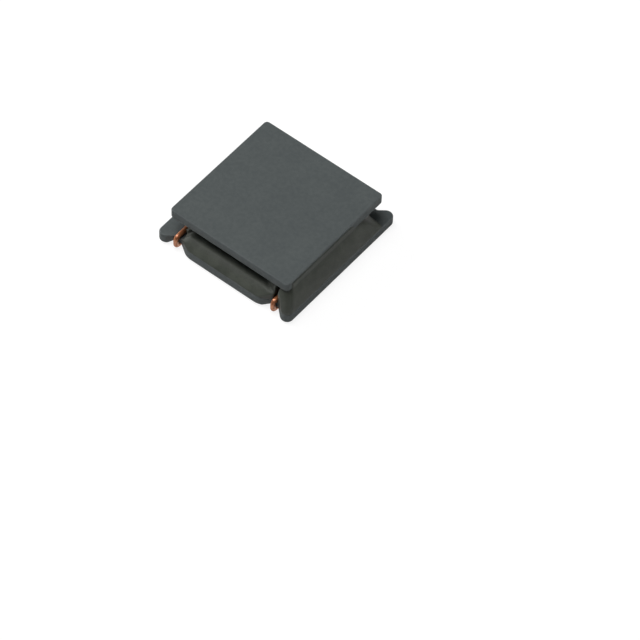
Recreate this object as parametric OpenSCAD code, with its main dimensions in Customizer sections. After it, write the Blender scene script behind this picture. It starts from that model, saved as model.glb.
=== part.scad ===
// Shielded surface-mount power inductor, millimetres, +Z up.
// A ferrite drum core carries a few layers of enamelled copper wire. Ferrite-filled resin
// closes the winding window. Both wire ends leave at the front (-Y), bend over a notch in
// the lower flange and run in a groove under it, inside the solder of their terminal.
// Z = 0 is the plane that the two terminals stand on.

/* [Drum core] */
// Side of the square lower flange
base_w = 4.0; // [3.9:0.05:4.5]
// Side of the smaller, square upper flange
top_w = 3.55; // [3.3:0.05:3.7]
// Height of the core over both flanges
core_h = 1.045; // [0.97:0.005:1.5]
// Thickness of the lower flange
base_t = 0.275; // [0.25:0.005:0.34]
// Thickness of the upper flange
top_t = 0.25; // [0.16:0.005:0.28]
// Diameter of the post between the flanges
post_d = 1.5; // [1.2:0.05:1.7]
// Radius of the lower flange's corners, seen from above
base_corner_r = 0.16; // [0.08:0.01:0.2]
// Radius of the upper flange's corners, seen from above
top_corner_r = 0.13; // [0.08:0.01:0.35]
// Radius of the tumbled edges round both flanges
edge_r = 0.045; // [0.02:0.005:0.06]

/* [Notches and grooves] */
// Distance of each lead, notch and groove from the centreline
lead_x = 1.47; // [1.42:0.01:1.5]
// Depth of the notches in the front and back edges
notch_depth = 0.16; // [0.12:0.01:0.24]
// Width of a notch at its floor
notch_floor_w = 0.2; // [0.1:0.01:0.24]
// Length along the edge of a notch's ramp towards the middle
notch_inner_run = 0.28; // [0.15:0.01:0.35]
// Length along the edge of a notch's ramp towards the corner
notch_outer_run = 0.2; // [0.15:0.01:0.25]
// Radius that softens the corners of a notch's floor
notch_r = 0.09; // [0.04:0.01:0.12]
// Radius of the shoulders where a notch meets the edge
shoulder_r = 0.2; // [0.1:0.01:0.22]
// Depth of the grooves under the lower flange
groove_depth = 0.13; // [0.1:0.005:0.15]
// Width of a groove at its roof
groove_roof_w = 0.14; // [0.1:0.01:0.18]
// Width of a groove's flank towards the middle
groove_inner_run = 0.24; // [0.15:0.01:0.3]
// Width of a groove's flank towards the side
groove_outer_run = 0.17; // [0.1:0.01:0.2]
// Radius that softens a groove's corners
groove_r = 0.04; // [0.02:0.01:0.06]

/* [Winding] */
// Outer diameter of the enamelled wire
wire_d = 0.125; // [0.1:0.005:0.13]
// Number of layers on the post
layers = 4; // [2:1:4]
// Angle over which the wire climbs to its next layer
layer_step = 30; // [25:1:45]
// Distance in front of the centre where the leads turn square to the edge
lead_turn_y = 1.5; // [1.45:0.01:1.55]
// Radius of the bends in the leads, at the wire's centre
lead_bend_r = 0.1; // [0.07:0.005:0.1]
// Length of each lead inside the solder
lead_in_solder = 2.0; // [0.8:0.1:2.6]

/* [Terminals] */
// Gap between the two terminals
pad_gap = 1.94; // [1.7:0.02:2.1]
// Distance from the flange's front edge to the terminals
pad_front_margin = 0.58; // [0.4:0.01:0.8]
// Distance from the flange's back edge to the terminals
pad_back_margin = 0.5; // [0.4:0.01:0.8]
// Distance from the flange's sides to the terminals
pad_side_margin = 0.025; // [0.02:0.005:0.1]
// Radius of the terminals' corners
pad_corner_r = 0.1; // [0.05:0.01:0.15]
// Thickness of the silver layer fired onto the ferrite
silver_t = 0.015; // [0.01:0.005:0.02]
// Thickness of silver and solder together under the flange
pad_t = 0.04; // [0.03:0.005:0.06]

/* [Shield resin] */
// Distance from the lower flange's front edge to the resin's foot
front_foot_margin = 0.03; // [0.02:0.005:0.1]
// Distance from the lower flange's right edge to the resin's foot
right_foot_margin = 0.04; // [0.02:0.005:0.1]
// Distance from the lower flange's back edge to the resin's foot
back_foot_margin = 0.03; // [0.02:0.005:0.1]
// Distance from the lower flange's left edge to the resin's foot
left_foot_margin = 0.06; // [0.02:0.005:0.1]
// Distance from the upper flange's front edge back to the resin's top
front_top_margin = 0.4; // [0.05:0.01:0.42]
// The same distance between the right-hand lead and the corner
corner_top_margin = 0.06; // [0.03:0.005:0.35]
// Distance from the upper flange's right edge back to the resin's top
right_top_margin = 0.045; // [0.03:0.005:0.35]
// Distance from the upper flange's back edge back to the resin's top
back_top_margin = 0.175; // [0.03:0.005:0.35]
// Distance from the upper flange's left edge back to the resin's top
left_top_margin = 0.045; // [0.03:0.005:0.35]
// Roundness of the resin's slope at the front, where 1 is straight
front_bulge = 1.15; // [1:0.1:3]
// Roundness of the resin's slope at the right and left
side_bulge = 1.3; // [1:0.1:3]
// Roundness of the resin's slope at the back
back_bulge = 2.6; // [1:0.1:3]
// Depth of the hollow in the resin at the back right corner
back_right_hollow = 0.45; // [0:0.05:0.6]
// Depth of the hollow in the resin at the back left corner
back_left_hollow = 0.55; // [0:0.05:0.65]
// Depth of the hollow in the resin at the front left corner
front_left_hollow = 0.62; // [0:0.02:0.66]
// Squareness of the resin's outline, where 2 is round
squareness = 16; // [6:1:16]
// Least thickness of the resin over the coil
coil_cover = 0.06; // [0.04:0.005:0.08]
// Width of the open slit round each lead
slit_w = 0.19; // [0.16:0.01:0.22]
// Distance in front of the centre where the leads come out of the resin
slit_y = 1.6; // [1.5:0.01:1.7]

/* [Fits] */
// Clearance round the wire
wire_gap = 0.004; // [0.003:0.001:0.006]
// Distance between a lead and the notch floor that it bends over
lead_standoff = 0.015; // [0.01:0.005:0.04]
// Thickness of the solder between a lead and the silver layer
solder_film = 0.012; // [0.01:0.002:0.02]

/* [Hidden] */
$fn = 48;
over = 0.2; // how far cutting shapes run past what they cut

// Heights
base_z = pad_t;
floor_z = base_z + base_t;
roof_z = base_z + core_h - top_t;
top_z = base_z + core_h;
window = roof_z - floor_z;
groove_z = base_z + groove_depth;

// Winding: lanes one above another, layers one round another
wire_r = wire_d / 2;
steps_per_turn = 24;
wire_sides = 8;
lanes = floor(window / (wire_d + wire_gap));
lane_pitch = (window - wire_d - 2 * wire_gap) / (lanes - 1);
layer_pitch = wire_d + wire_gap;
first_r = (post_d / 2 + wire_r + wire_gap) / cos(180 / steps_per_turn);
last_r = first_r + (layers - 1) * layer_pitch;
coil_r = last_r + wire_r;

// Leads
notch_y = base_w / 2 - notch_depth;
lead_drop_y = notch_y + wire_r + lead_standoff;
lead_floor_z = floor_z + wire_r + wire_gap;
lead_groove_z = groove_z - silver_t - solder_film - wire_r;
pad_front_y = base_w / 2 - pad_front_margin;
pad_back_y = base_w / 2 - pad_back_margin;
lead_end_y = lead_in_solder - pad_front_y;

// ---- Paths and outlines -------------------------------------------------------------

function unit(v) = v / norm(v);

// Points of a path whose inner corners are turned into arcs of radius r
function bent(path, r, steps = 4) = [
    path[0],
    for (i = [1 : len(path) - 2]) each arc_at(path[i - 1], path[i], path[i + 1], r, steps),
    path[len(path) - 1]
];

// Points of a closed outline whose corners are turned into arcs of radius r
function rounded(outline, r, steps = 4) = [
    for (i = [0 : len(outline) - 1], n = [len(outline)])
        each arc_at(outline[(i + n - 1) % n], outline[i], outline[(i + 1) % n], r, steps)
];

// Arc of radius r that leaves the line a-b and joins the line b-c
function arc_at(a, b, c, r, steps) =
    let (
        u = unit(b - a),
        v = unit(c - b),
        turn = acos(max(-1, min(1, u * v)))
    )
    turn < 1 ? [b] :
    let (
        cut = r * tan(turn / 2),
        centre = b + unit(v - u) * r / cos(turn / 2),
        from = b - u * cut - centre,
        to = b + v * cut - centre
    )
    [
        for (s = [0 : steps])
            centre + (sin(turn * (1 - s / steps)) * from + sin(turn * s / steps) * to) / sin(turn)
    ];

// Round tube along a path, with the same side kept up from ring to ring
module tube(path, r, sides) {
    last = len(path) - 1;
    along = [for (i = [0 : last]) unit(path[min(i + 1, last)] - path[max(i - 1, 0)])];
    up = [
        for (i = 0, n = across([0, 0, 1], along[0]); i <= last; i = i + 1, n = across(n, along[i])) n
    ];
    points = [
        for (i = [0 : last], k = [0 : sides - 1])
            let (a = k * 360 / sides)
            path[i] + r * (cos(a) * up[i] + sin(a) * cross(along[i], up[i]))
    ];
    walls = [
        for (i = [0 : last - 1], k = [0 : sides - 1])
            let (m = (k + 1) % sides)
            [i * sides + k, (i + 1) * sides + k, (i + 1) * sides + m, i * sides + m]
    ];
    start_cap = [for (k = [0 : sides - 1]) k];
    end_cap = [for (k = [sides - 1 : -1 : 0]) last * sides + k];
    polyhedron(points, concat([start_cap, end_cap], walls));
}

// The part of n that is square to t
function across(n, t) = is_undef(t) ? n : unit(n - (n * t) * t);

// Copies of a shape on the left and the right
module both_sides() {
    children();
    mirror([1, 0, 0]) children();
}

// ---- Drum core ----------------------------------------------------------------------

// Square plate with round corners and tumbled edges, standing on Z = 0
module tumbled_plate(w, t, corner_r) {
    hull()
        for (x = [-1, 1], y = [-1, 1])
            translate([x * (w / 2 - corner_r), y * (w / 2 - corner_r), 0])
                tumbled_disc(corner_r, t);
}

module tumbled_disc(r, t) {
    rotate_extrude($fn = 32) {
        square([r - edge_r, t]);
        translate([0, edge_r]) square([r, t - 2 * edge_r]);
        for (z = [edge_r, t - edge_r])
            translate([r - edge_r, z]) intersection() {
                circle(edge_r, $fn = 16);
                translate([0, -edge_r]) square([edge_r, 2 * edge_r]);
            }
    }
}

// Plan of the right-hand notch in the back edge, open towards +Y
module notch_outline() {
    edge_y = base_w / 2;
    inner_x = lead_x - notch_floor_w / 2;
    outer_x = lead_x + notch_floor_w / 2;
    line = [
        [0, edge_y],
        [inner_x - notch_inner_run, edge_y],
        [inner_x, notch_y],
        [outer_x, notch_y],
        [outer_x + notch_outer_run, edge_y],
        [base_w, edge_y]
    ];
    radii = [shoulder_r, notch_r, notch_r, shoulder_r];
    side = [for (i = [1 : 4]) each arc_at(line[i - 1], line[i], line[i + 1], radii[i - 1], 4)];
    polygon(concat(
        [[side[0][0], edge_y + over]],
        side,
        [[side[len(side) - 1][0], edge_y + over]]
    ));
}

// Underside of the right half in section, with its groove, from the middle past the side
function groove_line() =
    let (
        inner_x = lead_x - groove_roof_w / 2,
        outer_x = lead_x + groove_roof_w / 2
    )
    bent([
        [0, base_z],
        [inner_x - groove_inner_run, base_z],
        [inner_x, groove_z],
        [outer_x, groove_z],
        [outer_x + groove_outer_run, base_z],
        [base_w / 2 + over, base_z]
    ], groove_r);

// Extrudes an X-Z section along Y between two places
module along_y(from, to) {
    translate([0, to, 0]) rotate([90, 0, 0]) linear_extrude(to - from) children();
}

module drum_core() {
    color("#53595a") {
        difference() {
            translate([0, 0, base_z]) tumbled_plate(base_w, base_t, base_corner_r);
            both_sides() {
                for (side = [0, 1])
                    mirror([0, side, 0])
                        translate([0, 0, base_z - over])
                            linear_extrude(base_t + 2 * over) notch_outline();
                along_y(-base_w / 2 - over, base_w / 2 + over)
                    polygon(concat(groove_line(), [[base_w / 2 + over, -over], [0, -over]]));
            }
        }
        translate([0, 0, floor_z - edge_r])
            cylinder(d = post_d, h = window + 2 * edge_r);
        translate([0, 0, roof_z]) tumbled_plate(top_w, top_t, top_corner_r);
    }
}

// ---- Winding ------------------------------------------------------------------------

// Place on the coil at an angle, a radius and a height counted in lanes
function on_coil(angle, r, lane) =
    [r * cos(angle), r * sin(angle), lead_floor_z + lane * lane_pitch];

// Turns that each layer makes before the wire climbs: the inner layer starts in the
// bottom lane, and the others leave that lane free for the lead that passes under them
function layer_turns(k) = k == 0 ? lanes - 1 : lanes - 2;

// The leads meet the coil where they touch it as tangents
turn_point = [lead_x, -lead_turn_y];
reach = norm(turn_point);
start_angle = acos(first_r / reach) - atan2(lead_turn_y, lead_x);
end_angle = 180 + atan2(lead_turn_y, lead_x) - acos(last_r / reach);

// Angle at which a layer begins
function layer_start(k) =
    k == 0 ? start_angle : layer_start(k - 1) + 360 * layer_turns(k - 1) + layer_step;

// The outer layer stops early, where its lead leaves towards the left notch
full_end = layer_start(layers - 1) + 360 * layer_turns(layers - 1);
last_turns = layer_turns(layers - 1) - ((full_end - end_angle) % 360) / 360;

// One layer: lanes climb on even layers and fall on odd ones
function layer_path(k) =
    let (
        turns = k == layers - 1 ? last_turns : layer_turns(k),
        from = k == 0 ? 0 : k % 2 == 0 ? 1 : lanes - 1,
        way = k % 2 == 0 ? 1 : -1,
        steps = ceil(turns * steps_per_turn)
    )
    [
        for (s = [0 : steps])
            on_coil(layer_start(k) + 360 * turns * s / steps, first_r + k * layer_pitch,
                    from + way * turns * s / steps)
    ];

// A lead from where it leaves the coil, over the notch and into the groove
function lead_path(side) = [
    [side * lead_x, -lead_turn_y, lead_floor_z],
    [side * lead_x, -lead_drop_y, lead_floor_z],
    [side * lead_x, -lead_drop_y, lead_groove_z],
    [side * lead_x, lead_end_y, lead_groove_z]
];

function reversed(list) = [for (i = [len(list) - 1 : -1 : 0]) list[i]];

function winding_path() =
    let (
        coil = [for (k = [0 : layers - 1]) each layer_path(k)],
        start = on_coil(start_angle, first_r, 0),
        end = coil[len(coil) - 1],
        lead_in = bent(concat(reversed(lead_path(1)), [start]), lead_bend_r),
        lead_out = bent(concat([end], lead_path(-1)), lead_bend_r)
    )
    concat(
        [for (i = [0 : len(lead_in) - 2]) lead_in[i]],
        coil,
        [for (i = [1 : len(lead_out) - 1]) lead_out[i]]
    );

module copper_winding() {
    color("#b5713f") tube(winding_path(), wire_r, wire_sides);
}

// ---- Shield resin -------------------------------------------------------------------

// Each side of the resin: [reach of its foot, reach of its top, roundness of its slope].
// Its front is fuller beyond the right-hand lead, where it reaches up under the corner.
front_side = [base_w / 2 - front_foot_margin, top_w / 2 - front_top_margin, front_bulge];
corner_side = [base_w / 2 - front_foot_margin, top_w / 2 - corner_top_margin, side_bulge];
corner_angle = 360 - atan2(notch_y, lead_x);
right_side = [base_w / 2 - right_foot_margin, top_w / 2 - right_top_margin, side_bulge];
back_side = [base_w / 2 - back_foot_margin, top_w / 2 - back_top_margin, back_bulge];
left_side = [base_w / 2 - left_foot_margin, top_w / 2 - left_top_margin, side_bulge];

// Corner hollows where the resin stops short: [angle from +X, half width, depth]
hollows = [
    [48, 13, back_right_hollow],
    [129, 20, back_left_hollow],
    [229, 13, front_left_hollow]
];

// Reach of one side at a height from 0 at its foot to 1 at its top
function side_reach(side, h) =
    side[1] + (side[0] - side[1]) * pow(1 - pow(h, side[2]), 1 / side[2]);

// How far the resin falls short in the hollows
function hollow_at(angle) = max([
    for (hollow = hollows)
        let (off = abs(angle - hollow[0]) / hollow[1])
        off < 1 ? hollow[2] * (1 + cos(180 * off)) / 2 : 0
]);

// Reach of the front, which passes from one of its forms to the other within the slit
function front_reach(angle, h) =
    let (t = max(0, min(1, (angle - corner_angle) / 6 + 0.5)))
    (1 - t) * side_reach(front_side, h) + t * side_reach(corner_side, h);

// Radius of the resin's rounded square outline
function resin_r(angle, h) =
    let (
        x_reach = side_reach(cos(angle) > 0 ? right_side : left_side, h),
        y_reach = sin(angle) < 0 ? front_reach(angle, h) : side_reach(back_side, h),
        across = pow(abs(cos(angle)) / x_reach, squareness),
        along = pow(abs(sin(angle)) / y_reach, squareness)
    )
    max(coil_r + coil_cover, pow(across + along, -1 / squareness) - hollow_at(angle));

module resin_body() {
    rings = 6;
    around = 96;
    points = concat(
        [
            for (ring = [0 : rings], k = [0 : around - 1])
                let (
                    h = ring / rings,
                    a = k * 360 / around,
                    r = resin_r(a, h)
                )
                [r * cos(a), r * sin(a), floor_z + h * window]
        ],
        [[0, 0, floor_z], [0, 0, roof_z]]
    );
    floor_middle = len(points) - 2;
    roof_middle = len(points) - 1;
    walls = [
        for (ring = [0 : rings - 1], k = [0 : around - 1])
            let (
                m = (k + 1) % around,
                low = ring * around,
                high = low + around
            )
            each [[low + m, low + k, high + k], [low + m, high + k, high + m]]
    ];
    // Floor and roof are fans of triangles round the middle
    fans = [
        for (k = [0 : around - 1])
            let (
                m = (k + 1) % around,
                top = rings * around
            )
            each [[floor_middle, k, m], [roof_middle, top + m, top + k]]
    ];
    polyhedron(points, concat(walls, fans));
}

// Upright slot from its round end to a flat end, cut from under the resin
module slot(round_end, flat_end, w, h) {
    run = flat_end - round_end;
    translate([round_end[0], round_end[1], floor_z - over])
        rotate([0, 0, atan2(run[1], run[0])]) {
            translate([0, -w / 2, 0]) cube([norm(run), w, h + over]);
            cylinder(d = w, h = h + over);
        }
}

module shield_resin() {
    tunnel_w = wire_d + 2 * wire_gap;
    slit_end = [lead_x, -slit_y - slit_w / 2];
    color("#44443d")
        difference() {
            resin_body();
            translate([0, 0, floor_z - over])
                cylinder(r = coil_r + wire_gap, h = window + 2 * over);
            slot(turn_point, on_coil(start_angle, first_r, 0), tunnel_w, tunnel_w);
            slot([-lead_x, -lead_turn_y], on_coil(end_angle, last_r, 0), tunnel_w,
                 tunnel_w + (lanes - 1) * lane_pitch / 2);
            both_sides() {
                slot(slit_end, turn_point, tunnel_w, tunnel_w);
                slot(slit_end, [lead_x, -base_w / 2 - over], slit_w, window + over);
                for (side = [0, 1])
                    mirror([0, side, 0])
                        translate([0, 0, floor_z - over])
                            linear_extrude(window + 2 * over) notch_outline();
            }
        }
}

// ---- Terminals ----------------------------------------------------------------------

// Plan of the right-hand terminal
module pad_outline() {
    inner_x = pad_gap / 2;
    outer_x = base_w / 2 - pad_side_margin;
    polygon(rounded([
        [inner_x, -pad_front_y],
        [outer_x, -pad_front_y],
        [outer_x, pad_back_y],
        [inner_x, pad_back_y]
    ], pad_corner_r));
}

// Cuts the terminal's plan out of a section that runs under the flange
module terminal() {
    intersection() {
        along_y(-base_w / 2, base_w / 2) children();
        translate([0, 0, -over]) linear_extrude(groove_z + 2 * over) pad_outline();
    }
}

// Line of the ferrite across the whole terminal, lowered by d
function under_ferrite(d) = [for (p = groove_line()) [p[0], p[1] - d]];

module electrode_base() {
    color("#c8ccc4")
        terminal() polygon(concat(under_ferrite(0), reversed(under_ferrite(silver_t))));
}

module solder_coat() {
    line = under_ferrite(silver_t);
    color("#d0d3cc")
        difference() {
            terminal() polygon(concat(line, [[line[len(line) - 1][0], 0], [line[0][0], 0]]));
            translate([lead_x, lead_end_y + wire_gap, lead_groove_z])
                rotate([90, 0, 0])
                    cylinder(r = wire_r + wire_gap, h = lead_end_y + wire_gap + base_w / 2);
        }
}

module electrode_base_left() { mirror([1, 0, 0]) electrode_base(); }
module electrode_base_right() { electrode_base(); }
module solder_coat_left() { mirror([1, 0, 0]) solder_coat(); }
module solder_coat_right() { solder_coat(); }

drum_core();
copper_winding();
shield_resin();
electrode_base_left();
electrode_base_right();
solder_coat_left();
solder_coat_right();
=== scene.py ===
"""Looks of a shielded surface-mount power inductor, 4 mm square and 1 mm high."""

import math

import bmesh
import bpy
from mathutils import Matrix, Vector, noise


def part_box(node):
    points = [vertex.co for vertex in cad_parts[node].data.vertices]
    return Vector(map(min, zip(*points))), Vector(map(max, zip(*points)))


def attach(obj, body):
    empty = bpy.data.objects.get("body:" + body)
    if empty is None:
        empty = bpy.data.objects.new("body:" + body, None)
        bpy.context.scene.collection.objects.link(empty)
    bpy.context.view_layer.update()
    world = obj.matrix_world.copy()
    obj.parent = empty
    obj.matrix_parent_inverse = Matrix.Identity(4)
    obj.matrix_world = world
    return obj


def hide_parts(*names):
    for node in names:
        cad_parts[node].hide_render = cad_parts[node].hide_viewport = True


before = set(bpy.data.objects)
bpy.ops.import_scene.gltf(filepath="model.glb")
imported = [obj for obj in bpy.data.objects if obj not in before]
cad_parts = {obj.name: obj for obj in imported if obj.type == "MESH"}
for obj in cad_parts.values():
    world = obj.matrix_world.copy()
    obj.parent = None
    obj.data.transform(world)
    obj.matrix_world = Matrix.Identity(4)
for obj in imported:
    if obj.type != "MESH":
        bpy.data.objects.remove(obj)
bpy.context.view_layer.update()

mm = 0.001

# --- Drum core ------------------------------------------------------------------------
# One sintered piece of nickel-zinc ferrite: a lower flange, a post and a smaller upper
# flange. The lower flange is pressed with notches in its front and back edges and with
# two grooves underneath. Tumbling rounds every edge; the rims are painted a little lighter,
# partly as rubbed wear and partly as a painted highlight.

core_low, core_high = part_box("drum_core")
base_half = core_high[0]
base_low = core_low[2]
base_top = base_low + 0.275 * mm
roof = core_high[2] - 0.25 * mm
top_half = 3.55 / 2 * mm
post_r = 1.5 / 2 * mm
base_corner_r = 0.16 * mm
top_corner_r = 0.1 * mm
edge_r = 0.04 * mm
top_edge_r = 0.028 * mm
post_fillet = 0.05 * mm
post_sink = 0.002 * mm
smallest_step = 0.001 * mm

lead_x = 1.47 * mm
notch_depth = 0.16 * mm
notch_floor = 0.2 * mm
notch_inner_run = 0.3 * mm
notch_outer_run = 0.2 * mm
notch_r = 0.09 * mm
outer_shoulder_r = 0.2 * mm
inner_shoulder_r = 0.5 * mm
groove_depth = 0.13 * mm
groove_roof = 0.14 * mm
groove_inner_run = 0.24 * mm
groove_outer_run = 0.17 * mm
groove_r = 0.06 * mm


def arc(a, b, c, r, steps):
    """Points of the arc of radius r that leaves the line a-b and joins the line b-c."""
    u = (b - a).normalized()
    v = (c - b).normalized()
    turn = u.angle(v)
    if turn < 0.02:
        return [b]
    cut = r * math.tan(turn / 2)
    centre = b + (v - u).normalized() * r / math.cos(turn / 2)
    start = b - u * cut - centre
    end = b + v * cut - centre
    return [
        centre
        + (start * math.sin(turn * (1 - s / steps)) + end * math.sin(turn * s / steps))
        / math.sin(turn)
        for s in range(steps + 1)
    ]


def rounded(corners, steps=8):
    """Closed outline through (x, y, radius) corners, each turned into an arc."""
    spots = [Vector(corner[:2]) for corner in corners]
    outline = [
        point
        for i, corner in enumerate(corners)
        for point in arc(spots[i - 1], spots[i], spots[(i + 1) % len(spots)], corner[2], steps)
    ]
    return [p for i, p in enumerate(outline) if (p - outline[i - 1]).length > smallest_step]


def bent(points, r, steps=8):
    """Open path whose inner corners are turned into arcs of radius r."""
    path = [points[0]]
    for a, b, c in zip(points, points[1:], points[2:]):
        path += arc(a, b, c, r, steps)
    return path + [points[-1]]


def four_ways(quarter):
    """Closed outline from the corners of its back right quarter."""
    turned = [(-x, y, r) for x, y, r in reversed(quarter)]
    half = quarter + turned
    return half + [(-x, -y, r) for x, y, r in half]


def groove_line():
    """Depth of the right-hand groove along X, as (x, depth) points."""
    inner = lead_x - groove_roof / 2
    outer = lead_x + groove_roof / 2
    return bent(
        [
            Vector((0, 0)),
            Vector((inner - groove_inner_run, 0)),
            Vector((inner, groove_depth)),
            Vector((outer, groove_depth)),
            Vector((outer + groove_outer_run, 0)),
            Vector((base_half, 0)),
        ],
        groove_r,
    )


def groove_at(x):
    """Depth of the grooves at a distance from the middle."""
    line = groove_line()
    for a, b in zip(line, line[1:]):
        if a.x <= abs(x) <= b.x:
            return a.y + (b.y - a.y) * (abs(x) - a.x) / (b.x - a.x)
    return 0


def inward(outline):
    """Direction into the outline at each point, long enough to keep an inset even."""
    ways = []
    for i, point in enumerate(outline):
        before = (point - outline[i - 1]).normalized()
        after = (outline[(i + 1) % len(outline)] - point).normalized()
        way = Vector((-before.y - after.y, before.x + after.x)).normalized()
        ways.append(way / max(0.4, way.dot(Vector((-before.y, before.x)))))
    return ways


def add_plate(mesh, outline, low, high, edge, steps=7):
    """Adds a plate with tumbled edges, and marks how far each point is round its edge."""
    rim = mesh.verts.layers.float["rim"]
    ways = inward(outline)
    turns = [math.pi / 2 * step / steps for step in range(steps + 1)]
    under = [
        (edge * (1 - math.sin(t)), low + edge * (1 - math.cos(t)), math.sin(2 * t))
        for t in turns
    ]
    over = [(inset, low + high - z, mark) for inset, z, mark in reversed(under)]
    flat = edge * 1.5
    rings = []
    for inset, z, mark in [(flat, low, 0), *under, *over, (flat, high, 0)]:
        ring = [mesh.verts.new((*(p + way * inset), z)) for p, way in zip(outline, ways)]
        for vert in ring:
            vert[rim] = mark
        rings.append(ring)
    for ring, upper in zip(rings, rings[1:]):
        for i in range(len(outline)):
            mesh.faces.new((ring[i - 1], ring[i], upper[i], upper[i - 1]))
    mesh.faces.new(reversed(rings[0]))
    mesh.faces.new(rings[-1])


def add_post(mesh, r, low, high, fillet, around=96, steps=6):
    """Adds the post, which spreads in a small fillet where it meets the flanges."""
    turns = [math.pi / 2 * step / steps for step in range(steps + 1)]
    foot = [(r + fillet * (1 - math.sin(t)), low + fillet * (1 - math.cos(t))) for t in turns]
    profile = foot + [(far, low + high - z) for far, z in reversed(foot)]
    rings = [
        [
            mesh.verts.new((far * math.cos(a), far * math.sin(a), z))
            for a in (2 * math.pi * i / around for i in range(around))
        ]
        for far, z in profile
    ]
    for ring, upper in zip(rings, rings[1:]):
        for i in range(around):
            mesh.faces.new((ring[i - 1], ring[i], upper[i], upper[i - 1]))
    mesh.faces.new(reversed(rings[0]))
    mesh.faces.new(rings[-1])


def press_grooves(mesh):
    """Cuts the lower flange along the grooves' lines and lifts its underside into them."""
    for side in (1, -1):
        for point in groove_line()[1:-1]:
            bmesh.ops.bisect_plane(
                mesh,
                geom=mesh.verts[:] + mesh.edges[:] + mesh.faces[:],
                dist=1e-9,
                plane_co=(side * point.x, 0, 0),
                plane_no=(1, 0, 0),
            )
    for vert in mesh.verts:
        if vert.co.z < (base_low + base_top) / 2:
            vert.co.z += groove_at(vert.co.x)


def piece_from(mesh, name):
    """Object at the origin made from a finished bmesh, shaded smooth."""
    data = bpy.data.meshes.new(name)
    mesh.to_mesh(data)
    mesh.free()
    data.shade_smooth()
    piece = bpy.data.objects.new(name, data)
    bpy.context.scene.collection.objects.link(piece)
    return piece


def fit_piece(piece, finish, slot, *nodes):
    """Gives a piece its finish, fixes it to the part and lets it stand for CAD nodes."""
    piece.data.materials.clear()
    piece.data.materials.append(finish)
    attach(piece, "root")
    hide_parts(*nodes)


base_outline = rounded(
    four_ways(
        [
            (base_half, base_half, base_corner_r),
            (lead_x + notch_floor / 2 + notch_outer_run, base_half, outer_shoulder_r),
            (lead_x + notch_floor / 2, base_half - notch_depth, notch_r),
            (lead_x - notch_floor / 2, base_half - notch_depth, notch_r),
            (lead_x - notch_floor / 2 - notch_inner_run, base_half, inner_shoulder_r),
        ]
    )
)
top_outline = rounded(four_ways([(top_half, top_half, top_corner_r)]), steps=14)

core_mesh = bmesh.new()
core_mesh.verts.layers.float.new("rim")
add_plate(core_mesh, base_outline, base_low, base_top, edge_r)
press_grooves(core_mesh)
add_plate(core_mesh, top_outline, roof, core_high[2], top_edge_r)
add_post(core_mesh, post_r, base_top - post_sink, roof + post_sink, post_fillet)
core = piece_from(core_mesh, "drum_core_body")


class Tone:
    """A number or colour that varies over a surface, with Python's operators on it."""

    def __init__(self, finish, socket):
        self.finish = finish
        self.socket = socket

    def maths(self, operation, *values):
        inputs = dict(enumerate(values))
        return self.finish.node("ShaderNodeMath", {"operation": operation}, inputs)

    def __add__(self, other):
        return self.maths("ADD", self, other)

    __radd__ = __add__

    def __sub__(self, other):
        return self.maths("SUBTRACT", self, other)

    def __rsub__(self, other):
        return self.maths("SUBTRACT", other, self)

    def __mul__(self, other):
        return self.maths("MULTIPLY", self, other)

    __rmul__ = __mul__

    def between(self, low, high):
        """0 below low, 1 above high and a smooth climb between them."""
        inputs = {"Value": self, "From Min": low, "From Max": high}
        return self.finish.node("ShaderNodeMapRange", {"interpolation_type": "SMOOTHSTEP"}, inputs)


class Finish:
    """The material of one kind of surface. Its shader's fixed values go in by name."""

    def __init__(self, name, fixed):
        self.material = bpy.data.materials.new(name)
        self.material.use_nodes = True
        self.nodes = self.material.node_tree.nodes
        self.links = self.material.node_tree.links
        self.shader = self.nodes["Principled BSDF"]
        for socket, value in fixed.items():
            self.shader.inputs[socket].default_value = value
        self.place = self.node("ShaderNodeTexCoord", {}, {}, "Object")

    def node(self, kind, settings, inputs, output=0):
        """Adds any node and returns one of its outputs."""
        made = self.nodes.new(kind)
        for setting, value in settings.items():
            setattr(made, setting, value)
        for socket, value in inputs.items():
            if isinstance(value, Tone):
                self.links.new(value.socket, made.inputs[socket])
            else:
                made.inputs[socket].default_value = value
        return Tone(self, made.outputs[output])

    def noise(self, size, detail=3.0, roughness=0.55, place=None):
        """Cloudy noise from 0 to 1 whose patches are about this large."""
        inputs = {
            "Vector": place or self.place,
            "Scale": 1 / size,
            "Detail": detail,
            "Roughness": roughness,
        }
        return self.node("ShaderNodeTexNoise", {}, inputs, "Fac")

    def spots(self, size):
        """Distance to the nearest of many scattered points, 0 on each point."""
        inputs = {"Vector": self.place, "Scale": 1 / size, "Randomness": 1.0}
        return self.node("ShaderNodeTexVoronoi", {}, inputs, "Distance")

    def stretched(self, x, y, z):
        """Places scaled along each axis, for streaks."""
        inputs = {"Vector": self.place, "Scale": (x, y, z)}
        return self.node("ShaderNodeMapping", {"vector_type": "POINT"}, inputs)

    def mark(self, name):
        """A value kept on the mesh."""
        return self.node("ShaderNodeAttribute", {"attribute_name": name}, {}, "Fac")

    def mix(self, share, colour, other):
        """Goes from one colour to another as share goes from 0 to 1."""
        settings = {"data_type": "RGBA"}
        inputs = {0: share, 6: colour, 7: other}
        return self.node("ShaderNodeMix", settings, inputs, 2)

    def paint(self, socket, tone):
        self.links.new(tone.socket, self.shader.inputs[socket])

    def relief(self, height, depth):
        """Shallow relief: height from 0 to 1 stands for this depth."""
        inputs = {"Height": height, "Distance": depth, "Strength": 1.0}
        self.paint("Normal", self.node("ShaderNodeBump", {}, inputs))


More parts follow.
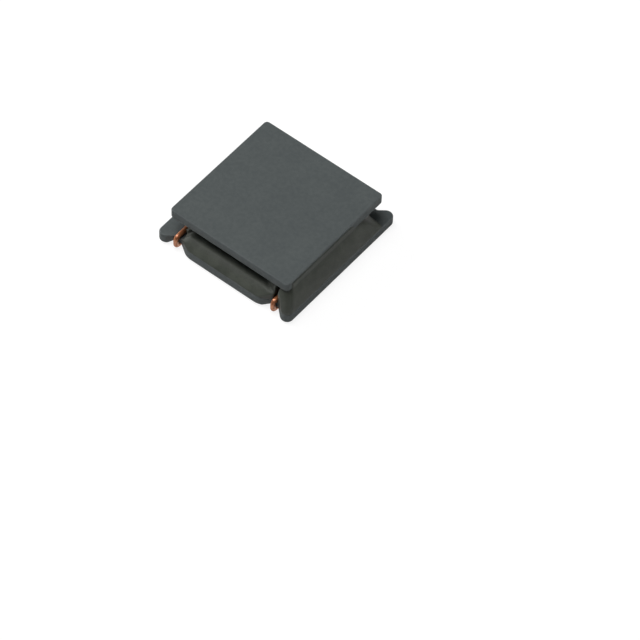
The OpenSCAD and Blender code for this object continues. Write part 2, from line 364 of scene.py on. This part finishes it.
def ferrite():
    """Matte dark grey ceramic: fine grain, faint clouds, small pits darkened with painted shade,
    and rims painted paler as rubbed wear and painted highlight.
    """
    finish = Finish("ferrite", {"IOR": 1.5, "Specular IOR Level": 0.3})
    cloud = finish.noise(0.7 * mm, 2)
    mottle = finish.noise(0.1 * mm, 4, 0.6)
    grain = finish.noise(0.014 * mm, 2, 0.6)
    # Pits: a shallow real relief, with painted shade darkening their colour.
    pits_with_painted_shade = 1 - finish.spots(0.055 * mm).between(0.04, 0.16)
    pits_with_painted_shade = pits_with_painted_shade * finish.noise(0.16 * mm, 1).between(0.52, 0.62)
    light = mottle * 0.55 + cloud * 0.25 + grain * 0.2
    colour = finish.mix(light.between(0.3, 0.7), (0.066, 0.077, 0.079, 1), (0.088, 0.101, 0.1, 1))
    # Rims: partly rubbed wear, partly a painted highlight that lightens their colour; they are also
    # less rough.
    rubbed_and_painted_highlight = finish.mark("rim") * (0.5 + 0.5 * finish.noise(0.12 * mm, 3))
    colour = finish.mix(rubbed_and_painted_highlight * 0.1, colour, (0.2, 0.22, 0.225, 1))
    # Painted shade: the pits' colour is darkened towards near black.
    colour = finish.mix(pits_with_painted_shade * 0.6, colour, (0.03, 0.034, 0.035, 1))
    finish.paint("Base Color", colour)
    finish.paint("Roughness", 0.5 + 0.22 * mottle - rubbed_and_painted_highlight * 0.4)
    finish.relief(grain * 0.4 + mottle * 0.6 - pits_with_painted_shade * 0.8, 0.005 * mm)
    return finish.material


fit_piece(core, ferrite(), "ferrite", "drum_core")

# --- Copper winding -------------------------------------------------------------------
# One enamelled copper wire, 0.125 mm thick, from the right-hand groove over the notch to
# the post, over eight turns in four layers, and back over the left-hand notch to its groove.
# The enamel is clear and glossy. Inside the terminals solder has eaten it away.

wire_r = 0.125 / 2 * mm
wire_gap = 0.004 * mm
silver_t = 0.015 * mm
solder_film = 0.012 * mm
layers = 4
layer_step = 30
lead_turn_y = 1.5 * mm
lead_bend_r = 0.1 * mm
lead_standoff = 0.015 * mm
lead_out_y = base_half - notch_depth + wire_r + lead_standoff
lead_in_solder = 2.0 * mm
pad_front_margin = 0.58 * mm
pad_front_y = base_half - pad_front_margin
lead_end_y = lead_in_solder - pad_front_y
coil_chord = 15

lanes = int((roof - base_top) / (2 * wire_r + wire_gap))
lane_pitch = (roof - base_top - 2 * wire_r - 2 * wire_gap) / (lanes - 1)
layer_pitch = 2 * wire_r + wire_gap
first_r = (post_r + wire_r + wire_gap) / math.cos(math.radians(coil_chord / 2))
last_r = first_r + (layers - 1) * layer_pitch
lead_z = base_top + wire_r + wire_gap
lead_groove_z = base_low + groove_depth - silver_t - solder_film - wire_r


def on_coil(angle, r, lane):
    """Place on the coil at an angle in degrees, a radius and a height in lanes."""
    a = math.radians(angle)
    return Vector((r * math.cos(a), r * math.sin(a), lead_z + lane * lane_pitch))


def coil_path(start_angle, end_angle, steps_per_turn=72, climbs=8):
    """The turns of all layers, each layer one wire further out than the one before."""
    path = []
    angle = start_angle
    for layer in range(layers):
        low_lane = 0 if layer == 0 else 1
        turns = lanes - 1 - low_lane
        if layer == layers - 1:
            turns -= ((angle + 360 * turns - end_angle) % 360) / 360
        lane, way = (low_lane, 1) if layer % 2 == 0 else (lanes - 1, -1)
        steps = math.ceil(turns * steps_per_turn)
        for s in range(steps + 1):
            done = turns * s / steps
            r = first_r + layer * layer_pitch
            path.append(on_coil(angle + 360 * done, r, lane + way * done))
        angle += 360 * turns
        if layer == layers - 1:
            break
        for s in range(1, climbs):
            share = s / climbs
            r = first_r + (layer + share * share * (3 - 2 * share)) * layer_pitch
            path.append(on_coil(angle + layer_step * share, r, lane + way * turns))
        angle += layer_step
    return path


def lead_path(side):
    """A lead from where it turns square to the edge, over the notch and under the flange."""
    x = side * lead_x
    return [
        Vector((x, -lead_turn_y, lead_z)),
        Vector((x, -lead_out_y, lead_z)),
        Vector((x, -lead_out_y, lead_groove_z)),
        Vector((x, lead_end_y, lead_groove_z)),
    ]


def winding_path():
    """The whole wire: right lead, coil, left lead. Both leads leave the coil as tangents."""
    lead_angle = math.degrees(math.atan2(lead_turn_y, lead_x))
    reach = math.hypot(lead_x, lead_turn_y)
    start_angle = math.degrees(math.acos(first_r / reach)) - lead_angle
    end_angle = 180 + lead_angle - math.degrees(math.acos(last_r / reach))
    coil = coil_path(start_angle, end_angle)
    lead_in = bent([*reversed(lead_path(1)), coil[0]], lead_bend_r, 10)
    lead_out = bent([coil[-1], *lead_path(-1)], lead_bend_r, 10)
    return lead_in[:-1] + coil + lead_out[1:]


def wire_nodes():
    """Geometry Nodes tree that sweeps a round wire along a curve."""
    tree = bpy.data.node_groups.new("wire_along_path", "GeometryNodeTree")
    face = tree.interface
    face.new_socket("Geometry", in_out="INPUT", socket_type="NodeSocketGeometry")
    face.new_socket("Wire radius", in_out="INPUT", socket_type="NodeSocketFloat")
    face.new_socket("Sides", in_out="INPUT", socket_type="NodeSocketInt")
    face.new_socket("Material", in_out="INPUT", socket_type="NodeSocketMaterial")
    face.new_socket("Geometry", in_out="OUTPUT", socket_type="NodeSocketGeometry")
    given = tree.nodes.new("NodeGroupInput")
    result = tree.nodes.new("NodeGroupOutput")
    section = tree.nodes.new("GeometryNodeCurvePrimitiveCircle")
    sweep = tree.nodes.new("GeometryNodeCurveToMesh")
    smooth = tree.nodes.new("GeometryNodeSetShadeSmooth")
    real = tree.nodes.new("GeometryNodeRealizeInstances")
    coat = tree.nodes.new("GeometryNodeSetMaterial")
    sweep.inputs["Fill Caps"].default_value = True
    for source, target in (
        (given.outputs["Wire radius"], section.inputs["Radius"]),
        (given.outputs["Sides"], section.inputs["Resolution"]),
        (given.outputs["Geometry"], sweep.inputs["Curve"]),
        (section.outputs["Curve"], sweep.inputs["Profile Curve"]),
        (sweep.outputs["Mesh"], smooth.inputs["Geometry"]),
        (smooth.outputs["Geometry"], real.inputs["Geometry"]),
        (real.outputs["Geometry"], coat.inputs["Geometry"]),
        (given.outputs["Material"], coat.inputs["Material"]),
        (coat.outputs["Geometry"], result.inputs["Geometry"]),
    ):
        tree.links.new(source, target)
    return tree


def grown(source, tree, values, name):
    """Plain mesh object that a Geometry Nodes tree makes from a source object."""
    modifier = source.modifiers.new("grow", "NODES")
    modifier.node_group = tree
    for item in tree.interface.items_tree:
        if item.in_out == "INPUT" and item.name in values:
            modifier[item.identifier] = values[item.name]
    graph = bpy.context.evaluated_depsgraph_get()
    data = bpy.data.meshes.new_from_object(source.evaluated_get(graph))
    source.modifiers.remove(modifier)
    bpy.data.objects.remove(source)
    piece = bpy.data.objects.new(name, data)
    bpy.context.scene.collection.objects.link(piece)
    return piece


def path_curve(path):
    """Curve object of one open line through the points."""
    data = bpy.data.curves.new("path", "CURVE")
    data.dimensions = "3D"
    line = data.splines.new("POLY")
    line.points.add(len(path) - 1)
    for spot, point in zip(path, line.points):
        point.co = (*spot, 1)
    curve = bpy.data.objects.new("path", data)
    bpy.context.scene.collection.objects.link(curve)
    return curve


def enamelled_copper():
    """Bright drawn copper under clear enamel, a little redder in patches."""
    fixed = {
        "Metallic": 0.6,
        "Coat Weight": 0.5,
        "Coat Roughness": 0.2,
        "Coat IOR": 1.55,
        "Coat Tint": (1.0, 0.82, 0.62, 1),
    }
    finish = Finish("enamelled_copper", fixed)
    patches = finish.noise(0.25 * mm, 2)
    drawn = finish.noise(0.03 * mm, 3)
    shade = (patches * 0.7 + drawn * 0.3).between(0.3, 0.7)
    finish.paint("Base Color", finish.mix(shade, (0.36, 0.13, 0.06, 1), (0.56, 0.25, 0.13, 1)))
    finish.paint("Roughness", 0.3 + 0.16 * drawn)
    finish.relief(drawn, 0.001 * mm)
    return finish.material


copper = enamelled_copper()
wire_values = {"Wire radius": wire_r, "Sides": 22, "Material": copper}
winding = grown(path_curve(winding_path()), wire_nodes(), wire_values, "winding_wire")
fit_piece(winding, copper, "enamelled_copper", "copper_winding")

# --- Shield resin ---------------------------------------------------------------------
# Epoxy filled with ferrite powder, laid round the coil from a needle and cured. It lies as
# a low bead along the front, fills the other sides, creeps up the upper flange's right face,
# stops short at three corners and leaves a slit at each lead.

# The front's bead and the recess over it. Heights are shares of the room between the flanges.
bead_foot = base_half - 0.004 * mm
bead_crest = top_half - 0.055 * mm
bead_height = 0.4
bead_bulge = 1.2
recess = top_half - 0.44 * mm
recess_bend = 0.05

# The bead's rounded left end, in degrees round the part.
front_end = 233.6
front_end_run = 5.0
front_end_past = 2.5
front_end_r = 0.2 * mm

# Past the right-hand lead the front is a full wall, which grows out of the bead.
corner_angle = 360 - math.degrees(math.atan2(base_half - notch_depth, lead_x))
corner_run = 12
corner_lead = 10

# A full wall is (reach of its foot, reach of its top, roundness of its slope).
corner_side = (base_half - 0.004 * mm, top_half - 0.06 * mm, 1.3)
right_top_gap = 0.045 * mm
right_side = (base_half - 0.01 * mm, top_half - right_top_gap, 1.3)
back_side = (base_half - 0.03 * mm, top_half - 0.175 * mm, 2.6)
left_side = (base_half - 0.06 * mm, top_half - 0.045 * mm, 1.3)
squareness = 40
coil_cover = 0.06 * mm
lump_size = 0.45 * mm
lump_depth = 0.018 * mm
lump_lean = 1.3

# A hollow is (middle and half width in degrees, how much it widens upwards, depth).
resin_hollows = ((47, 11, 1.0, 0.62 * mm), (129, 20, 0, 0.55 * mm), (221.5, 12, 0, 0.9 * mm))

# Width of the slit at each place along the front.
slits = {lead_x - 0.005 * mm: 0.13 * mm, -lead_x + 0.03 * mm: 0.24 * mm}
slit_y = 1.6 * mm

# The resin runs a little way into both flanges, so that no gap shows.
resin_grip = 0.03 * mm
footing_inset = 0.004 * mm
coil_room = 0.01 * mm
coil_room_height = 1.0 * mm
past_resin = 0.1 * mm
resin_voxel = 0.02 * mm
skin_rounds = 4

# The creep goes from one angle to another, in degrees from the middle of the right side.
creep_top = core_high[2] - 0.05 * mm
creep_w = 0.022 * mm
creep_front = -43.5
creep_front_fade = 1.5
creep_back = 27
creep_back_fade = 9
inside_plate = top_half - 2.5 * resin_grip


def creep(angle):
    """How far the resin climbs the upper flange's right face, from 0 to 1."""
    turn = (angle + 180) % 360 - 180
    from_front = (turn - creep_front) / creep_front_fade
    from_back = (creep_back - turn) / creep_back_fade
    return max(0, min(1, from_front, from_back))


def side_reach(side, h):
    """Reach of one side at a height from 0 at its foot to 1 at its top."""
    foot, top, bulge = side
    return top + (foot - top) * (1 - h**bulge) ** (1 / bulge)


def front_reach(angle, h):
    """Reach of the front: the bead and its recess, and the full wall past the right lead."""
    if h < bead_height:
        bead = side_reach((bead_foot, bead_crest, bead_bulge), h / bead_height)
    else:
        bead = recess + (bead_crest - recess) * max(0, 1 - (h - bead_height) / recess_bend)
    walled = max(0, min(1, (angle - corner_angle + corner_lead) / corner_run))
    return (1 - walled) * bead + walled * side_reach(corner_side, h)


def resin_radius(angle, h):
    """Radius of the resin's rounded square outline, less its corner hollows."""
    c = math.cos(math.radians(angle))
    s = math.sin(math.radians(angle))
    x_reach = side_reach(right_side if c > 0 else left_side, h)
    x_reach += (right_top_gap + creep_w) * creep(angle) * h
    y_reach = front_reach(angle, h) if s < 0 else side_reach(back_side, h)
    r = (abs(c / x_reach) ** squareness + abs(s / y_reach) ** squareness) ** (-1 / squareness)
    short = 0
    for middle, half_width, spread, depth in resin_hollows:
        off = abs(angle - middle) / (half_width * (1 + spread * h))
        if off < 1:
            short = max(short, depth * (1 + math.cos(math.pi * off)) / 2)
    near_end = max(0, 1 - (angle - front_end) / front_end_run)
    if s < 0 and angle > front_end - front_end_past:
        short += front_end_r * (1 - math.sqrt(max(0, 1 - near_end * near_end)))
    return max(last_r + wire_r + coil_cover, r - short)


def resin_body(around=720, rings=40):
    """The resin before its cuts, with lumps that fade out at its foot and its top."""
    mesh = bmesh.new()
    layers_of_points = []
    for ring in range(rings + 1):
        z = base_top - resin_grip + ring / rings * (creep_top - base_top + resin_grip)
        h = max(0, min(1, (z - base_top) / (roof - base_top)))
        climb = (z - roof - resin_grip) / (creep_top - roof - resin_grip)
        points = []
        for k in range(around):
            angle = 360 * k / around
            c = math.cos(math.radians(angle))
            s = math.sin(math.radians(angle))
            r = resin_radius(angle, h)
            if climb > creep(angle):
                r = min(r, inside_plate / max(abs(c), abs(s)))
            spot = Vector((c, s, 0)) * r
            lump = noise.noise(Vector((*spot[:2], z)) / lump_size) * lump_depth
            spot *= 1 + lump / r * math.sin(math.pi * min(1, h * lump_lean))
            points.append(mesh.verts.new((*spot[:2], z)))
        layers_of_points.append(points)
    for low, high in zip(layers_of_points, layers_of_points[1:]):
        for k in range(around):
            mesh.faces.new((low[k - 1], low[k], high[k], high[k - 1]))
    mesh.faces.new(reversed(layers_of_points[0]))
    mesh.faces.new(layers_of_points[-1])
    return piece_from(mesh, "shield_resin_body")


def block(outline, low, high, name):
    """Upright block over a closed outline."""
    mesh = bmesh.new()
    edge = [mesh.verts.new((*point, low)) for point in outline]
    made = bmesh.ops.extrude_face_region(mesh, geom=[mesh.faces.new(edge)])["geom"]
    lifted = [item for item in made if isinstance(item, bmesh.types.BMVert)]
    bmesh.ops.translate(mesh, verts=lifted, vec=(0, 0, high - low))
    bmesh.ops.recalc_face_normals(mesh, faces=mesh.faces[:])
    return piece_from(mesh, name)


def moved_in(outline, distance):
    """The outline moved inwards."""
    return [point + way * distance for point, way in zip(outline, inward(outline))]


def slot(x, width, steps=16):
    """Outline of a slot that is open to the front and has a round inner end."""
    r = width / 2
    front = -base_half - 2 * past_resin - r
    turns = [math.pi * step / steps for step in range(steps + 1)]
    end = [(x + r * math.cos(a), -slit_y - r + r * math.sin(a)) for a in turns]
    return [(x - r, front), (x + r, front), *end]


def coil_cutter(around=128):
    """The round room that the coil takes up inside the resin."""
    mesh = bmesh.new()
    r = last_r + wire_r + coil_room
    bmesh.ops.create_cone(
        mesh,
        cap_ends=True,
        segments=around,
        radius1=r,
        radius2=r,
        depth=coil_room_height,
        matrix=Matrix.Translation((0, 0, (base_top + roof) / 2)),
    )
    return piece_from(mesh, "coil_cutter")


def cut(piece, cutter, operation="DIFFERENCE"):
    """Takes the cutter out of the piece, or keeps only what lies inside it."""
    modifier = piece.modifiers.new("cut", "BOOLEAN")
    modifier.operation = operation
    modifier.solver = "EXACT"
    modifier.object = cutter


def settle(piece):
    """Turns a piece's modifiers into its plain mesh."""
    graph = bpy.context.evaluated_depsgraph_get()
    data = bpy.data.meshes.new_from_object(piece.evaluated_get(graph))
    piece.modifiers.clear()
    piece.data = data


def soften(piece, voxel, rounds):
    """Rounds a piece's sharp edges as a liquid's skin does, in steps of one voxel."""
    remesh = piece.modifiers.new("skin", "REMESH")
    remesh.mode = "VOXEL"
    remesh.voxel_size = voxel
    remesh.use_smooth_shade = True
    smooth = piece.modifiers.new("smooth", "SMOOTH")
    smooth.factor = 0.5
    smooth.iterations = rounds


def ferrite_resin():
    """Dark olive-grey filled epoxy: satin skin, soft clouds and specks of powder."""
    finish = Finish("ferrite_resin", {"IOR": 1.5, "Specular IOR Level": 0.3})
    cloud = finish.noise(0.35 * mm, 3)
    speck = finish.noise(0.02 * mm, 2, 0.7)
    shade = (cloud * 0.65 + speck * 0.35).between(0.3, 0.7)
    finish.paint("Base Color", finish.mix(shade, (0.042, 0.047, 0.038, 1), (0.07, 0.077, 0.063, 1)))
    finish.paint("Roughness", 0.36 + 0.25 * cloud)
    finish.relief(cloud * 0.7 + speck * 0.3, 0.008 * mm)
    return finish.material


resin = resin_body()
over_resin = creep_top + past_resin
footing = block(
    moved_in(base_outline, footing_inset), base_top - resin_grip, over_resin, "footing"
)
cut(resin, footing, "INTERSECT")
cutters = [
    block(slot(x, width), base_top - past_resin, over_resin, f"slit_cutter_{i}")
    for i, (x, width) in enumerate(slits.items())
]
cutters += [
    coil_cutter(),
    block(moved_in(top_outline, resin_grip), roof + resin_grip, over_resin, "plate_cutter"),
]
for cutter in cutters:
    cut(resin, cutter)
soften(resin, resin_voxel, skin_rounds)
settle(resin)
for tool in [footing, *cutters]:
    bpy.data.objects.remove(tool)
fit_piece(resin, ferrite_resin(), "ferrite_resin", "shield_resin")

# --- Terminals ------------------------------------------------------------------------
# A thin silver layer is fired onto the ferrite under each side, then dipped in tin solder
# that fills the groove, buries the lead and rolls onto the flange's outer edge. The solder
# lies almost flat, draws thin and round at its rim, and is cloudy where it froze.

pad_gap = 1.94 * mm
pad_inner_x = pad_gap / 2
pad_outer_x = base_half - 0.018 * mm
pad_back_y = base_half - 0.5 * mm
pad_corner_r = 0.1 * mm
pad_rim = 0.07 * mm
pad_thinnest = 0.02 * mm
pad_edge = 0.004 * mm
groove_sag = 0.006 * mm
groove_sag_w = 0.16 * mm
run_in_rise = 0.05 * mm
run_in_length = 0.16 * mm
wobble_size = 0.2 * mm
wobble_reach = 0.012 * mm
under_solder = 0.001 * mm
solder_step = 0.03 * mm


def under_flange(x):
    """Height of the lower flange's underside at a distance from the middle."""
    into_edge = max(0, abs(x) - (base_half - edge_r))
    rise = edge_r - math.sqrt(max(0, edge_r**2 - into_edge**2))
    return base_low + groove_at(x) + rise


def solder_low(x, y, from_rim):
    """Height of the solder's skin, which thins to nothing at its rim."""
    ferrite_z = under_flange(x)
    full = min(1, from_rim / pad_rim)
    depth = math.sqrt(1 - (1 - full) ** 2)
    sunk = groove_sag * math.exp(-(((abs(x) - lead_x) / groove_sag_w) ** 2))
    run_in = max(0, 1 - (y + pad_front_y) / run_in_length) ** 2
    flat = sunk + run_in_rise * run_in * (groove_at(x) / groove_depth)
    flat = min(ferrite_z - pad_thinnest, flat)
    return ferrite_z + (flat - ferrite_z) * depth


def spaced(a, b, step):
    """Points from a up to but not including b, no further apart than the step."""
    count = max(1, math.ceil((b - a).length / step))
    return [a.lerp(b, s / count) for s in range(count)]


def solder_coat(side, name, steps=28):
    """One terminal's solder: rings from the rim inward, for its skin and for its back."""
    outline = rounded(
        [
            (pad_outer_x, pad_back_y, pad_corner_r),
            (pad_inner_x, pad_back_y, pad_corner_r),
            (pad_inner_x, -pad_front_y, pad_corner_r),
            (pad_outer_x, -pad_front_y, pad_corner_r),
        ],
        12,
    )
    outline = [
        point
        for a, b in zip(outline, outline[1:] + outline[:1])
        for point in spaced(a, b, solder_step)
    ]
    middle_x = (pad_inner_x + pad_outer_x) / 2
    half_w = (pad_outer_x - pad_inner_x) / 2
    mesh = bmesh.new()
    depths = [half_w * (1 - math.cos(math.pi / 2 * step / steps)) for step in range(steps)]
    sheets = {"skin": [], "back": []}
    for inset in depths:
        share = inset / half_w
        skin, back = [], []
        for p in outline:
            spine_y = max(-pad_front_y + half_w, min(pad_back_y - half_w, p.y))
            spine = Vector((middle_x, spine_y))
            spot = p.lerp(spine, share)
            wobble = noise.noise(Vector((*spot, side)) / wobble_size) * wobble_reach
            spot += (p - spine).normalized() * wobble * (1 - share) ** 3
            x = min(spot.x, base_half - pad_edge)
            z = solder_low(x, spot.y, inset)
            ferrite_z = under_flange(x) + under_solder
            skin.append(mesh.verts.new((side * x, spot.y, max(0, z))))
            back.append(mesh.verts.new((side * x, spot.y, ferrite_z)))
        sheets["skin"].append(skin)
        sheets["back"].append(back)
    for sheet in sheets.values():
        for outer, inner in zip(sheet, sheet[1:]):
            for i in range(len(outer)):
                mesh.faces.new((outer[i - 1], outer[i], inner[i], inner[i - 1]))
        mesh.faces.new(sheet[-1])
    skin, back = sheets["skin"][0], sheets["back"][0]
    for i in range(len(skin)):
        mesh.faces.new((skin[i - 1], skin[i], back[i], back[i - 1]))
    bmesh.ops.recalc_face_normals(mesh, faces=mesh.faces[:])
    return piece_from(mesh, name)


def tin_solder():
    """Matt white tin with slow clouds and faint streaks along the terminal."""
    finish = Finish("tin_solder", {"Metallic": 1.0})
    cloud = finish.noise(0.55 * mm, 2)
    streak = finish.noise(0.2 * mm, 2, place=finish.stretched(1, 0.3, 1))
    grain = finish.noise(0.018 * mm, 2)
    shade = (cloud * 0.5 + streak * 0.35 + grain * 0.15).between(0.3, 0.7)
    finish.paint("Base Color", finish.mix(shade, (0.55, 0.57, 0.53, 1), (0.74, 0.76, 0.71, 1)))
    finish.paint("Roughness", 0.34 + 0.25 * cloud)
    finish.relief(cloud * 0.4 + streak * 0.4 + grain * 0.2, 0.006 * mm)
    return finish.material


def fired_silver():
    """Dull fired silver paste with a fine grain."""
    finish = Finish("fired_silver", {"Metallic": 1.0})
    grain = finish.noise(0.02 * mm, 3)
    finish.paint("Base Color", finish.mix(grain, (0.5, 0.5, 0.47, 1), (0.66, 0.66, 0.62, 1)))
    finish.paint("Roughness", 0.45 + 0.2 * grain)
    finish.relief(grain, 0.002 * mm)
    return finish.material


solder = tin_solder()
silver = fired_silver()
for side, word in ((-1, "left"), (1, "right")):
    coat = solder_coat(side, f"solder_coat_{word}_skin")
    fit_piece(coat, solder, "solder", f"solder_coat_{word}")
    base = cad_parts[f"electrode_base_{word}"]
    base.data.materials.clear()
    base.data.materials.append(silver)

# --- Table, light and camera ----------------------------------------------------------
# A white table far larger than the part, a wide soft lamp overhead, a side lamp at the left
# and a weak one at the back right, and a long lens that looks down at the front right corner.

table_half = 400 * mm
paper_white = 0.9
seen_white = 0.86
shadow_share = 0.2
pane_margin = 0.1 * mm
pane_strength = 0.9
room_strength = 0.06


def table():
    """White table top that keeps a faint shadow and can't be seen from below.

    The patch that the part covers gives light of its own, for looks from underneath. It also
    lights the lower bends of the leads.
    """
    data = bpy.data.meshes.new("table")
    corners = [
        (x * x_reach, y * y_reach, 0)
        for x_reach, y_reach in (
            (pad_outer_x, base_half - pane_margin),
            (table_half, table_half),
        )
        for x, y in ((-1, -1), (1, -1), (1, 1), (-1, 1))
    ]
    sides = [(i, i + 4, (i + 1) % 4 + 4, (i + 1) % 4) for i in range(4)]
    data.from_pydata(corners, [], [(0, 1, 2, 3), *sides])
    under = data.attributes.new("under_part", "FLOAT", "FACE")
    under.data[0].value = 1
    top = bpy.data.objects.new("table", data)
    bpy.context.scene.collection.objects.link(top)
    material = bpy.data.materials.new("table")
    material.use_nodes = True
    nodes, links = material.node_tree.nodes, material.node_tree.links
    nodes.clear()
    paper = nodes.new("ShaderNodeBsdfDiffuse")
    paper.inputs["Color"].default_value = (paper_white, paper_white, paper_white, 1)
    dimmer = nodes.new("ShaderNodeBsdfDiffuse")
    dimmer.inputs["Color"].default_value = (shadow_share, shadow_share, shadow_share, 1)
    glow = nodes.new("ShaderNodeEmission")
    glow.inputs["Strength"].default_value = seen_white
    seen = nodes.new("ShaderNodeAddShader")
    under_part = nodes.new("ShaderNodeAttribute")
    under_part.attribute_name = "under_part"
    pane = nodes.new("ShaderNodeEmission")
    pane.inputs["Strength"].default_value = pane_strength
    real = nodes.new("ShaderNodeMixShader")
    ray = nodes.new("ShaderNodeLightPath")
    picked = nodes.new("ShaderNodeMixShader")
    below = nodes.new("ShaderNodeNewGeometry")
    clear = nodes.new("ShaderNodeBsdfTransparent")
    sided = nodes.new("ShaderNodeMixShader")
    result = nodes.new("ShaderNodeOutputMaterial")
    for source, target in (
        (dimmer.outputs[0], seen.inputs[0]),
        (glow.outputs[0], seen.inputs[1]),
        (ray.outputs["Is Camera Ray"], picked.inputs[0]),
        (under_part.outputs["Fac"], real.inputs[0]),
        (paper.outputs[0], real.inputs[1]),
        (pane.outputs[0], real.inputs[2]),
        (real.outputs[0], picked.inputs[1]),
        (seen.outputs[0], picked.inputs[2]),
        (below.outputs["Backfacing"], sided.inputs[0]),
        (picked.outputs[0], sided.inputs[1]),
        (clear.outputs[0], sided.inputs[2]),
        (sided.outputs[0], result.inputs["Surface"]),
    ):
        links.new(source, target)
    data.materials.append(material)


def room():
    """Weak even light from all round, seen as white by the camera."""
    world = bpy.data.worlds.new("room")
    bpy.context.scene.world = world
    world.use_nodes = True
    nodes, links = world.node_tree.nodes, world.node_tree.links
    light = nodes["Background"]
    light.inputs["Color"].default_value = (1, 1, 1, 1)
    light.inputs["Strength"].default_value = room_strength
    white = nodes.new("ShaderNodeBackground")
    white.inputs["Strength"].default_value = 1.0
    ray = nodes.new("ShaderNodeLightPath")
    picked = nodes.new("ShaderNodeMixShader")
    links.new(ray.outputs["Is Camera Ray"], picked.inputs[0])
    links.new(light.outputs[0], picked.inputs[1])
    links.new(white.outputs[0], picked.inputs[2])
    links.new(picked.outputs[0], nodes["World Output"].inputs["Surface"])


def lamp(name, place, size, power):
    """Square soft lamp aimed at the middle of the part."""
    data = bpy.data.lights.new(name, "AREA")
    data.size = size
    data.energy = power
    lamp_object = bpy.data.objects.new(name, data)
    lamp_object.location = place
    lamp_object.rotation_euler = (-Vector(place)).to_track_quat("-Z", "Y").to_euler()
    bpy.context.scene.collection.objects.link(lamp_object)


def camera(azimuth, elevation, roll, shift, distance, focal):
    """Camera at an angle round the part. Shift and distance are in footprint sides."""
    side = 2 * base_half
    a, e, r = (math.radians(value) for value in (azimuth, elevation, roll))
    back = Vector((math.sin(a) * math.cos(e), -math.cos(a) * math.cos(e), math.sin(e)))
    right = Vector((math.cos(a), math.sin(a), 0))
    up = back.cross(right)
    right, up = right * math.cos(r) - up * math.sin(r), right * math.sin(r) + up * math.cos(r)
    place = (-shift[0] * right - shift[1] * up + distance * back) * side + Vector((0, 0, base_low))
    data = bpy.data.cameras.new("camera")
    data.sensor_width = 36
    data.lens = focal
    data.clip_start = 1 * mm
    data.clip_end = 2000 * mm
    holder = bpy.data.objects.new("camera", data)
    turned = Matrix((right, up, back)).transposed().to_4x4()
    holder.matrix_world = Matrix.Translation(place) @ turned
    bpy.context.scene.collection.objects.link(holder)
    bpy.context.scene.camera = holder


table()
room()
lamp("softbox", (-25 * mm, -15 * mm, 120 * mm), size=80 * mm, power=0.106)
lamp("left_lamp", (-105 * mm, -8 * mm, 60 * mm), size=50 * mm, power=0.07)
lamp("back_right_lamp", (101 * mm, 61 * mm, 47 * mm), size=24 * mm, power=0.022)
camera(
    azimuth=37.44,
    elevation=52.60,
    roll=-2.02,
    shift=(-0.2572, 0.5303),
    distance=23.74,
    focal=226.9,
)
bpy.context.scene.view_settings.view_transform = "Standard"
